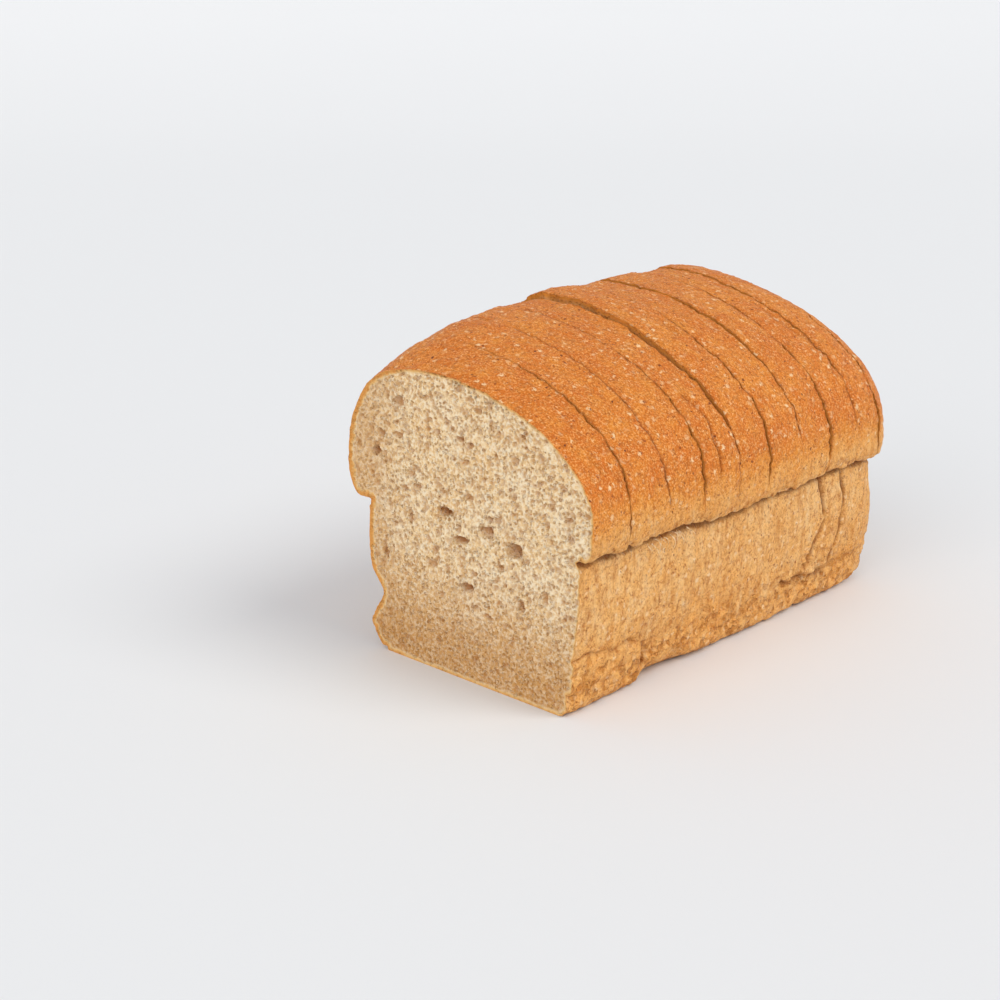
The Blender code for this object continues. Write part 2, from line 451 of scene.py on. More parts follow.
def detailed(point, normal, number, front, back):
    """One slice's crust with all its relief, and its attributes. Near each cut the edge is
    rolled inwards, its skin moves along Y to leave the gap, and painted shade darkens it."""
    height = crust_relief(point) + foot_relief(point)
    groove = groove_depth(point)
    # Painted shade in the grooves and in the fold under the lip.
    dark = 0.60 * groove / MM + 1.1 * rim_crease(point)
    shift = np.zeros(point.shape[:-1])
    for cut, sign in ((number, 1.0), (number + 1, -1.0)):
        if cut == 0 or cut > len(OPENINGS):
            continue
        away = np.abs(point[..., 1] - CUTS[cut])
        opening = cut_opening(point, cut)
        rolled = ROLL_DEPTH * (opening - TIGHT_GAP) * np.exp(-away / ROLL_WIDTH)
        push = sign * opening + cut_wave(point, cut)
        shift = shift + push * np.exp(-away / SHIFT_WIDTH)
        # Painted shade along each open cut.
        shade = np.exp(-away / SHADE_WIDTH) * eased(opening, 0.03 * MM, 0.16 * MM)
        dark = dark + 0.9 * shade
        torn = rough(point, CUT_TEAR_SIZE, 75, 2) * eased(opening, 0.03 * MM, 0.20 * MM)
        height = height + CUT_TEAR * torn * np.exp(-away / CUT_TEAR_WIDTH) - rolled
    height = height - groove
    moved = point + normal * height[..., None]
    moved[..., 1] = point[..., 1] + normal[..., 1] * height * between(point, front, back)
    moved[..., 1] += shift
    moved[..., 2] += rim_wave(point)
    moved = stepped(moved, number)
    moved[..., 2] = flat_base(moved[..., 2], point)
    return moved, np.clip(dark, 0.0, 1.0)


def between(point, front, back):
    """0 at a slice's two cuts and 1 a little way inside them. The heel's back is infinity."""
    near = np.minimum(point[..., 1] - front, back - point[..., 1])
    return eased(near, 0.0, 1.2 * MM)


def flat_base(z, point):
    """Keeps the underside at its own height, so the loaf stands flat, but for the arch."""
    return np.where(point[..., 2] < 0.05 * MM, 0.0, np.maximum(z, 0.0)) + foot_lift(point)


# ---------------------------------------------------------------- meshes

# Points along each side's foot, wall, lip and dome, and across the base, for the front slice,
# whose cut face shows, and for the other pieces.
FINE = (14, 92, 40, 150)
FINE_BASE = 220
PLAIN = (8, 72, 32, 126)
PLAIN_BASE = 70
EDGE_STATIONS = np.array([0.0, 0.14, 0.32, 0.58, 0.95, 1.45]) * MM
FINE_PITCH = 0.72 * MM
PLAIN_PITCH = 0.46 * MM
CAP_INSETS = np.array([0.35, 0.75, 1.2, 1.8, 2.8, 4.5, 8.0]) * MM
HEEL_RINGS = 110
CAP_CENTRE = np.array([0.0, 0.0, 0.050])
CAP_MIDDLE_DEPTH = 30 * MM
CAP_HOLLOW = 0.18 * MM
SHARP_ANGLE = math.radians(52)
CRUST, CRUMB = 0, 1


def stations(front, back, pitch):
    """Places along a slice: close together at its two cuts, and even between them."""
    inner = np.linspace(
        front + EDGE_STATIONS[-1],
        back - EDGE_STATIONS[-1],
        max(3, round((back - front) / pitch)),
    )[1:-1]
    return np.concatenate([front + EDGE_STATIONS, inner, back - EDGE_STATIONS[::-1]])


def ring_quads(index):
    """Quads through rows of vertex numbers that close round on themselves, facing outwards."""
    ahead = np.roll(index, -1, axis=1)
    return np.stack([index[:-1], index[1:], ahead[1:], ahead[:-1]], axis=-1).reshape(-1, 4)


def cap(ring, start):
    """A slice's hidden cut face: rings that come in from the outline by the cap insets, and
    a point in the middle. Gives the points, the vertex numbers of the rings and of the
    middle, and how far in each point lies."""
    centre = CAP_CENTRE + [0.0, ring[:, 1].mean(), 0.0]
    reach = np.linalg.norm(ring - centre, axis=1)
    share = 1 - CAP_INSETS[:, None] / reach
    rings = centre + (ring - centre) * share[..., None]
    count = len(ring)
    points = np.vstack([rings.reshape(-1, 3), centre])
    depth = np.append(np.repeat(CAP_INSETS, count), CAP_MIDDLE_DEPTH)
    new = start + np.arange(len(CAP_INSETS) * count).reshape(-1, count)
    return points, new, start + len(new) * count, depth


class Skin:
    """Points, faces and point attributes of one piece while it is put together. Its faces
    are kept in groups, each with the number of its material, CRUST or CRUMB."""

    def __init__(self):
        self.points, self.quads, self.triangles = [], [], []
        self.values = {"bake": [], "dark": [], "depth": [], "pore": []}
        self.count = 0

    def add(self, points, **values):
        """Adds points with their attributes, and gives their vertex numbers."""
        flat = points.reshape(-1, 3)
        self.points.append(flat)
        for name, held in self.values.items():
            held.append(np.broadcast_to(values.get(name, 0.0), points.shape[:-1]).reshape(-1))
        self.count += len(flat)
        return np.arange(self.count - len(flat), self.count).reshape(points.shape[:-1])

    def build(self, name, crust, crumb):
        """The mesh object, moved to its place in the frame and kept inside the CAD box."""
        points = np.vstack(self.points) + PLACE
        points = np.clip(points, np.array(CAD_BOX[0]), np.array(CAD_BOX[1]))
        faces, kinds = [], []
        for group, kind in self.quads + self.triangles:
            faces += group.tolist()
            kinds += [kind] * len(group)
        mesh = bpy.data.meshes.new(name)
        mesh.from_pydata(points.tolist(), [], faces)
        mesh.materials.append(crust)
        mesh.materials.append(crumb)
        mesh.polygons.foreach_set("material_index", kinds)
        for key, held in self.values.items():
            layer = mesh.attributes.new(key, "FLOAT", "POINT")
            layer.data.foreach_set("value", np.concatenate(held).astype(np.float32))
        mesh.update()
        mesh.shade_smooth()
        mesh.set_sharp_from_angle(angle=SHARP_ANGLE)
        piece = bpy.data.objects.new(name, mesh)
        bpy.context.scene.collection.objects.link(piece)
        return piece


def baked(point):
    """How brown the crust is: least on the wall, more towards the foot, and most on the top
    of the dome, with slow patches, and paler over the crumpled patch near the heel, where a
    highlight is painted."""
    z = point[..., 2]
    wall = 0.20 + 0.16 * (1 - eased(z, 6 * MM, 30 * MM))
    dome = 0.40 + 0.52 * eased(z, RIM_HEIGHT + 5 * MM, BULGE_HEIGHT + 8 * MM)
    lip = eased(z, RIM_HEIGHT + 0.5 * MM, RIM_HEIGHT + 4 * MM)
    # A painted highlight: the crust is paler over the crumpled patch low on the right wall.
    painted_highlight = bump(point[..., 1], 124 * MM, 8 * MM) * bump(z, 12 * MM, 5 * MM)
    wall = wall - 0.22 * painted_highlight * (point[..., 0] > 0)
    patches = 0.07 * clouds(point, 14 * MM, 81) + 0.05 * clouds(point, 4 * MM, 82)
    return wall + (dome - wall) * lip + patches


def add_cap(body, ring, order):
    """Closes one end of a piece with a hidden cut face, slightly hollow and rough. order is 1
    at the front and -1 behind."""
    points = np.vstack(body.points)[ring]
    cap_points, new, centre, depth = cap(points, body.count)
    grain = rough(cap_points * [1.0, 0.0, 1.0], 1.6 * MM, 91, 2)
    inside = np.clip(depth / (2 * MM), 0.0, 1.0)
    cap_points[:, 1] += order * CAP_HOLLOW * (1 + grain) * inside
    # Painted shade inside the cut, strongest at the outline and gone 6 mm in.
    body.add(cap_points, depth=depth, dark=1 - eased(depth, 1 * MM, 6 * MM))
    rings = np.vstack([ring[None, :], new])
    quads = ring_quads(rings)
    fan = np.stack([rings[-1], np.roll(rings[-1], -1), np.full(len(ring), centre)], axis=-1)
    if order > 0:
        quads = quads[:, ::-1]
    else:
        fan = fan[:, ::-1]
    body.quads.append((quads, CRUMB))
    body.triangles.append((fan, CRUMB))


# ---------------------------------------------------------------- the open cut face

# Large holes in the crumb: place across and up, half width, half height, all in millimetres,
# and how deep it is and how much painted shade it has inside, from 0 to 1.
HOLES = (
    (-38.5, 64.0, 1.7, 1.6, 1.0),
    (-10.0, 51.0, 2.9, 1.7, 1.0),
    (-28.5, 81.0, 2.6, 1.5, 0.5),
    (-3.0, 74.0, 1.8, 0.8, 0.8),
    (0.8, 73.0, 1.2, 0.8, 0.7),
    (-28.5, 70.5, 1.7, 0.9, 0.6),
    (-36.5, 70.0, 1.3, 1.2, 0.7),
    (7.0, 48.5, 2.6, 1.5, 0.8),
    (8.5, 52.5, 1.2, 0.9, 0.7),
    (21.0, 79.0, 1.6, 0.8, 0.5),
    (4.0, 83.5, 1.4, 0.7, 0.6),
    (-24.0, 46.0, 0.9, 2.6, 0.7),
    (38.0, 59.0, 1.4, 0.9, 0.6),
    (-12.0, 74.5, 1.0, 0.9, 0.7),
    (-11.0, 57.0, 1.2, 1.0, 0.5),
    (-21.0, 56.0, 1.5, 0.8, 0.6),
    (-26.5, 54.5, 1.5, 0.9, 0.6),
    (0.0, 57.5, 1.8, 1.1, 0.5),
    (18.0, 45.0, 3.2, 2.4, 0.8),
    (-3.5, 43.5, 3.0, 1.2, 1.0),
    (-0.5, 29.5, 2.5, 1.3, 1.0),
    (12.5, 39.0, 1.6, 1.1, 0.6),
    (-35.5, 33.0, 1.1, 2.6, 0.7),
    (20.5, 29.0, 1.3, 1.7, 0.6),
    (8.0, 22.5, 1.6, 0.7, 0.6),
    (2.0, 34.5, 1.7, 0.9, 0.5),
    (-15.5, 33.5, 2.0, 1.2, 0.4),
    (30.0, 34.0, 1.1, 2.0, 0.5),
)
CUT_FADE = 0.7 * MM
OUTLINE_CHUNK = 4000

# Sizes of the crumb's bubbles: the lattice they sit on, the least and greatest share of it
# that a bubble's radius takes, how many cells hold one, and how deep it is for its radius.
BUBBLES = (
    (5.0, 0.12, 0.24, 0.50, 0.66),
    (2.6, 0.15, 0.33, 0.60, 0.90),
    (1.45, 0.22, 0.46, 0.80, 0.80),
)


def hollows(flat, size, least, most, presence, seed):
    """Depth, in shares of a radius, and radius of bubbles cut through: each lattice cell may
    hold one ellipse, at a hashed place and turn, and its floor is a half circle's curve."""
    cells = np.floor(flat / size)
    depth = np.zeros(flat.shape[:-1])
    for step_x in (-1, 0, 1):
        for step_z in (-1, 0, 1):
            cell = cells + [step_x, step_z]
            place = [hashed(cell, seed + k) - 0.5 for k in (0, 1)]
            away = flat - (cell + 0.5 + 0.8 * np.stack(place, axis=-1)) * size
            radius = size * (least + (most - least) * hashed(cell, seed + 2) ** 1.6)
            turn = math.pi * hashed(cell, seed + 3)
            longer = 1.0 + 1.1 * hashed(cell, seed + 4) ** 2
            along = (away[..., 0] * np.cos(turn) + away[..., 1] * np.sin(turn)) / longer
            across = (away[..., 1] * np.cos(turn) - away[..., 0] * np.sin(turn)) * 1.12
            inside = 1 - (along**2 + across**2) / radius**2
            bowl = radius * np.sqrt(np.clip(inside, 0.0, None)) ** 0.8
            depth = np.maximum(depth, bowl * (hashed(cell, seed + 5) < presence))
    return depth


def crumb_relief(point):
    """How deep the cut face is below its plane, and how much painted shade each hollow gets: the
    deepest of three sizes of bubbles and the large holes, over a fine roughness. Low down,
    bubbles are shallower and the two larger sizes are fewer."""
    flat = point[..., [0, 2]]
    bend = [0.55 * MM * clouds(flat, 2.2 * MM, seed) for seed in (101, 102)]
    bend = np.stack(bend, axis=-1)
    low = 1 - eased(flat[..., 1], 8 * MM, 40 * MM)
    depth = np.zeros(flat.shape[:-1])
    for row, (size, least, most, presence, deep) in enumerate(BUBBLES):
        share = presence * (1 - 0.55 * low * (row < 2))
        bowls = hollows(flat + bend, size * MM, least, most, share, 110 + 10 * row)
        depth = np.maximum(depth, deep * bowls * (1 - 0.35 * low))
    dark = 0.60 * np.clip(depth / (0.60 * MM), 0.0, 1.0)
    for x, z, wide, tall, shade in HOLES:
        away = (flat + 0.8 * bend - np.array([x, z]) * MM) / (np.array([wide, tall]) * MM)
        bowl = np.sqrt(np.clip(1 - (away**2).sum(axis=-1), 0.0, None)) ** 0.75
        depth = np.maximum(depth, bowl * (0.8 + 1.3 * shade) * min(wide, tall) * MM)
        dark = np.maximum(dark, (0.35 + 0.65 * shade) * bowl)
    grain = 0.14 * MM * (1 + rough(flat, 1.0 * MM, 151, 2))
    return depth + grain, dark


def outline_distance(point, outline):
    """How far each point of the cut face is from the outline, in runs of a few thousand."""
    away = np.empty(len(point))
    for start in range(0, len(point), OUTLINE_CHUNK):
        run = point[start : start + OUTLINE_CHUNK, None, [0, 2]] - outline[None, :, [0, 2]]
        away[start : start + OUTLINE_CHUNK] = np.sqrt((run**2).sum(axis=-1).min(axis=1))
    return away


def add_open_face(body, ring, side_count, base_count):
    """Closes the front with the open cut face: straight rows from the left outline to the
    right, each pushed in along Y by the crumb's relief, and a fan up to the apex."""
    outline = np.vstack(body.points)[ring]
    rows = np.arange(1, side_count - 1)
    left, right = outline[-rows - 1], outline[base_count - 1 + rows]
    share = np.linspace(0.0, 1.0, base_count + 1)[None, 1:-1, None]
    inner = left[:, None] + (right - left)[:, None] * share
    depth = outline_distance(inner.reshape(-1, 3), outline).reshape(inner.shape[:-1])
    relief, dark = crumb_relief(inner)
    fade = eased(depth, 0.0, CUT_FADE)
    inner[..., 1] += relief * fade
    new = body.add(inner, depth=depth, pore=dark * fade)
    foot = np.concatenate([ring[-1:], ring[:base_count]])
    sides = np.hstack([ring[-rows - 1][:, None], new, ring[base_count - 1 + rows][:, None]])
    grid = np.vstack([foot, sides])
    quads = np.stack([grid[:-1, :-1], grid[:-1, 1:], grid[1:, 1:], grid[1:, :-1]], axis=-1)
    apex = np.full(base_count, ring[base_count - 1 + side_count - 1])
    body.quads.append((quads.reshape(-1, 4), CRUMB))
    body.triangles.append((np.stack([grid[-1, :-1], grid[-1, 1:], apex], axis=-1), CRUMB))


# ---------------------------------------------------------------- the pieces


def make_slice(number, crust, crumb):
    """One slice: the skin between its two cuts with its relief, and a cut face at each end."""
    fine = number == 0
    counts, base_count = (FINE, FINE_BASE) if fine else (PLAIN, PLAIN_BASE)
    front, back = CUTS[number], CUTS[number + 1]
    y = stations(front, back, FINE_PITCH if fine else PLAIN_PITCH)
    point = skin(y, counts, base_count)
    ahead = skin(y + 0.05 * MM, counts, base_count) - skin(y - 0.05 * MM, counts, base_count)
    moved, dark = detailed(point, normals_of(point, ahead), number, front, back)
    body = Skin()
    index = body.add(moved, bake=baked(point), dark=dark)
    body.quads.append((ring_quads(index), CRUST))
    if fine:
        add_open_face(body, index[0], sum(counts), base_count)
    else:
        add_cap(body, index[0], 1)
    add_cap(body, index[-1], -1)
    return body.build(f"{NODES[number]}_bread", crust, crumb)


def make_heel(crust, crumb):
    """The heel: rings that close in over its rounded end, and a cut face at the front."""
    number = len(NODES) - 1
    front = CUTS[number]
    point = heel_skin(front, HEEL_RINGS, PLAIN, PLAIN_BASE)
    normal = normals_of(point, np.gradient(point, axis=0))
    moved, dark = detailed(point, normal, number, front, math.inf)
    body = Skin()
    index = body.add(moved, bake=baked(point), dark=dark)
    pole = np.array([[0.0, moved[-1, :, 1].max(), END_CENTRE_HEIGHT]])
    end = body.add(pole, bake=0.2)[0]
    last = index[-1]
    fan = np.stack([last, np.full(len(last), end), np.roll(last, -1)], axis=-1)
    body.quads.append((ring_quads(index), CRUST))
    body.triangles.append((fan, CRUST))
    add_cap(body, index[0], 1)
    return body.build("heel_bread", crust, crumb)


STRAND_COUNT = 18
STRAND_SIDES = 6
STRAND_STEPS = 9
STRAND_DEPTH = 9 * MM


def make_strands(crust, crumb):
    """Pale torn fibres under the lip: thin tapered tubes along bent lines, joined in one
    mesh. Each line leaves the wall at a hashed place and droops as the square of its length."""
    body = Skin()
    turn = np.linspace(0.0, 2 * math.pi, STRAND_SIDES, endpoint=False)
    along = np.linspace(0.0, 1.0, STRAND_STEPS)
    across = np.array([1.0, 0.0, 0.4])
    up = np.array([-0.2, 1.0, 0.1])
    ring = np.cos(turn)[:, None] * across + np.sin(turn)[:, None] * up
    for strand in range(STRAND_COUNT):
        random = hashed(np.arange(7)[:, None] + 31 * strand, 7)
        y = (27 + 25 * random[0]) * MM
        x = RIM_HALF_WIDTH + (0.2 + 1.0 * random[1]) * MM
        z = RIM_HEIGHT + (0.2 + 1.0 * random[2]) * MM
        reach = (1.8 + 2.8 * random[3]) * MM
        drift = (random[4] - 0.5) * 5.0 * MM
        thick = (0.12 + 0.12 * random[5]) * MM
        line = np.stack([
            x + reach * 0.45 * np.sin(along * 2.2),
            y + drift * along + 0.5 * MM * np.sin(along * 5 + 6 * random[6]),
            z - reach * (0.25 * along + 0.75 * along**2),
        ], axis=-1)
        width = thick * (1 - 0.75 * along)[:, None, None]
        index = body.add(line[:, None] + width * ring, depth=STRAND_DEPTH)
        ends = body.add(line[[0, -1]], depth=STRAND_DEPTH)
        body.quads.append((ring_quads(index)[:, ::-1], CRUMB))
        for end, row in ((ends[0], index[0, ::-1]), (ends[1], index[-1])):
            fan = np.stack([row, np.roll(row, -1), np.full(STRAND_SIDES, end)], axis=-1)
            body.triangles.append((fan, CRUMB))
    return body.build("torn_strands", crust, crumb)


# ---------------------------------------------------------------- materials

# The Mix node's sockets for colours, by number, because its names repeat.
MIX_SHARE, MIX_BELOW, MIX_ABOVE = 0, 6, 7


def linear(hex_colour):
    """An sRGB hex colour as linear RGBA: each channel over 12.92 below 0.04045, and
    ((channel + 0.055) / 1.055) to the power 2.4 above it."""
    channels = [int(hex_colour[i : i + 2], 16) / 255 for i in (1, 3, 5)]
    return [c / 12.92 if c <= 0.04045 else ((c + 0.055) / 1.055) ** 2.4 for c in channels] + [1.0]


def add_node(tree, kind, inputs=None, stops=(), **settings):
    """Adds one node with its settings. An input is linked if its value is a socket, or a node,
    which gives the first output in use. Otherwise it is set, a hex colour being turned linear.
    stops are a Color Ramp's, as (place, hex colour) in rising order."""
    made = tree.nodes.new("ShaderNode" + kind)
    for name, value in settings.items():
        setattr(made, name, value)
    for key, value in (inputs or {}).items():
        if isinstance(value, bpy.types.Node):
            value = next(output for output in value.outputs if output.enabled)
        if isinstance(value, bpy.types.NodeSocket):
            tree.links.new(value, made.inputs[key])
        else:
            made.inputs[key].default_value = linear(value) if isinstance(value, str) else value
    for number, (place, colour) in enumerate(stops):
        elements = made.color_ramp.elements
        element = elements[number] if number < len(elements) else elements.new(place)
        element.position = place
        element.color = linear(colour)
    return made


def empty_material(name):
    """A new material whose node tree holds nothing yet."""
    material = bpy.data.materials.new(name)
    material.use_nodes = True
    material.node_tree.nodes.clear()
    return material


def tinted(tree, colour, tint, field, low, high, most, where=1.0, curve="SMOOTHSTEP"):
    """Turns a colour towards a tint by a share that goes from 0 where the field is low to most
    where it is high, times where. Gives the new colour and the share."""
    span = {"Value": field, "From Min": low, "From Max": high, "To Max": most}
    share = add_node(tree, "MapRange", span, interpolation_type=curve)
    share = add_node(tree, "Math", {0: share, 1: where}, operation="MULTIPLY")
    layers = {MIX_SHARE: share, MIX_BELOW: colour, MIX_ABOVE: tint}
    return add_node(tree, "Mix", layers, data_type="RGBA"), share


def flecked(tree, colour, tint, place, apart, chance, radius, least, most, where=1.0):
    """Turns a colour towards a tint in soft spots, one to a cell, on cells that are apart
    millimetres across. A cell holds a spot by chance, the spot's radius is a share of the
    cell, and its strength is drawn from least to most. Gives the new colour and the share."""
    cells = {"Vector": place, "Scale": 1 / (apart * MM), "Randomness": 1.0}
    cells = add_node(tree, "TexVoronoi", cells)
    drawn = add_node(tree, "SeparateColor", {"Color": cells.outputs["Color"]})
    held = add_node(tree, "Math", {0: drawn, 1: chance}, operation="LESS_THAN")
    strength = {"Value": drawn.outputs["Green"], "To Min": least, "To Max": most}
    strength = add_node(tree, "MapRange", strength)
    held = add_node(tree, "Math", {0: held, 1: strength}, operation="MULTIPLY")
    held = add_node(tree, "Math", {0: held, 1: where}, operation="MULTIPLY")
    distance = cells.outputs["Distance"]
    return tinted(tree, colour, tint, distance, radius, 0.45 * radius, 1.0, held)


def bent(tree, place, size, amount):
    """The place moved about by noise of this size, both in millimetres, so that round spots
    come out ragged."""
    field = add_node(tree, "TexNoise", {"Vector": place, "Scale": 1 / (size * MM), "Detail": 2.0})
    middle = {0: field.outputs["Color"], 1: (0.5, 0.5, 0.5)}
    centred = add_node(tree, "VectorMath", middle, operation="SUBTRACT")
    moved = {0: centred, 1: (amount * MM,) * 3, 2: place}
    return add_node(tree, "VectorMath", moved, operation="MULTIPLY_ADD")


def crust_material():
    """Bread crust, baked: the dome browned by the oven, the wall pale where the tin held it.
    Shows a mottled golden to orange-brown skin, cream bran flecks, dark specks, painted shade
    in its folds, cuts and pits, and a soft satin sheen broken by fine wrinkles."""
    material = empty_material("baked bread crust")
    tree = material.node_tree
    place = add_node(tree, "TexCoord").outputs["Object"]
    across = add_node(tree, "SeparateXYZ", {"Vector": place})
    bake = add_node(tree, "Attribute", attribute_name="bake").outputs["Fac"]
    dark = add_node(tree, "Attribute", attribute_name="dark").outputs["Fac"]
    ragged = bent(tree, place, 1.6, 1.1)
    torn = bent(tree, place, 0.9, 2.6)
    upright = add_node(tree, "Mapping", {"Vector": ragged, "Scale": (1.0, 1.0, 0.26)})

    # Each noise: where it is read, the size of its lumps in millimetres, detail and roughness.
    fields = (
        (place, 5.5, 4.0, 0.60),
        (ragged, 1.5, 5.0, 0.70),
        (ragged, 0.6, 3.0, 0.70),
        (upright, 2.2, 4.0, 0.68),
        (place, 3.0, 3.0, 0.50),
        (place, 2.8, 2.0, 0.50),
    )
    patches, wrinkle, grit, streak, gloss, dimple = (
        add_node(
            tree,
            "TexNoise",
            {"Vector": where, "Scale": 1 / (size * MM), "Detail": detail, "Roughness": roughness},
        )
        for where, size, detail, roughness in fields
    )

    # The oven's browning, patchy, from the pale wall to the deep brown of the top.
    brown = add_node(tree, "Math", {0: patches, 1: 0.70, 2: bake}, operation="MULTIPLY_ADD")
    brown = add_node(tree, "Math", {0: brown, 1: 0.35}, operation="SUBTRACT", use_clamp=True)
    stops = (
        (0.00, "#fdd293"),
        (0.20, "#f7bd71"),
        (0.40, "#f2ad5a"),
        (0.70, "#e99134"),
        (1.00, "#d9731d"),
    )
    colour = add_node(tree, "ValToRGB", {"Fac": brown}, stops)

    # The skin's mottling by its wrinkles and grit, with painted shade in their pits and a
    # painted highlight on the raised grit.
    colour, _ = tinted(tree, colour, "#b0611c", wrinkle, 0.50, 0.38, 0.62)
    colour, _ = tinted(tree, colour, "#a95a1c", grit, 0.50, 0.38, 0.46)
    colour, _ = tinted(tree, colour, "#fdc078", grit, 0.51, 0.63, 0.58)

    # Upright streaks and brown dots, which only the wall has.
    wall = {"Value": bake, "From Min": 0.50, "From Max": 0.38}
    on_wall = add_node(tree, "MapRange", wall, interpolation_type="SMOOTHSTEP")
    colour, _ = tinted(tree, colour, "#c27c38", streak, 0.50, 0.36, 0.50, on_wall)
    colour, streaks = tinted(tree, colour, "#f8d09a", streak, 0.54, 0.68, 0.45, on_wall)
    colour, dots = flecked(tree, colour, "#a8601f", upright, 1.9, 0.50, 0.33, 0.0, 0.8, on_wall)

    # Cream bran flecks and dust, brown specks, and dark spots, which are weaker on the wall.
    colour, flecks = flecked(tree, colour, "#ffd7a4", torn, 2.9, 0.62, 0.33, 0.15, 0.95)
    colour, _ = flecked(tree, colour, "#ffc88c", torn, 1.3, 0.30, 0.36, 0.2, 1.0)
    colour, _ = flecked(tree, colour, "#8b3c1a", torn, 1.5, 0.40, 0.34, 0.2, 0.9)
    weaker = add_node(tree, "MapRange", {"Value": on_wall, "To Min": 1.0, "To Max": 0.5})
    colour, _ = flecked(tree, colour, "#6f3016", ragged, 3.0, 0.30, 0.19, 0.6, 1.0, weaker)

    # Painted shade in the folds and cuts, and the dimples that the tin left low on the wall,
    # with painted shade in them and a painted highlight between them.
    colour, _ = tinted(tree, colour, "#7e3c0c", dark, 0.0, 1.0, 0.85, curve="LINEAR")
    foot = {"Value": across.outputs["Z"], "From Min": 26 * MM, "From Max": 8 * MM}
    foot = add_node(tree, "MapRange", foot, interpolation_type="SMOOTHSTEP")
    colour, dimples = tinted(tree, colour, "#b56a1e", dimple, 0.50, 0.34, 0.55, foot)
    colour, _ = tinted(tree, colour, "#fbc276", dimple, 0.52, 0.68, 0.45, foot)

    # What stands up or lies low, in shares of the bump's height.
    height = wrinkle
    parts = ((grit, 0.60), (flecks, 0.30), (dimples, -2.18), (streaks, 0.50), (dots, -0.50))
    for part, share in parts:
        height = add_node(tree, "Math", {0: part, 1: share, 2: height}, operation="MULTIPLY_ADD")
    relief = add_node(tree, "Bump", {"Height": height, "Strength": 1.0, "Distance": 0.50 * MM})
    sheen = add_node(tree, "Math", {0: gloss, 1: 0.30, 2: 0.38}, operation="MULTIPLY_ADD")
    finish = {"Base Color": colour, "Roughness": sheen, "IOR": 1.45, "Specular IOR Level": 0.24}
    shader = add_node(tree, "BsdfPrincipled", finish | {"Normal": relief})
    add_node(tree, "OutputMaterial", {"Surface": shader})
    return material


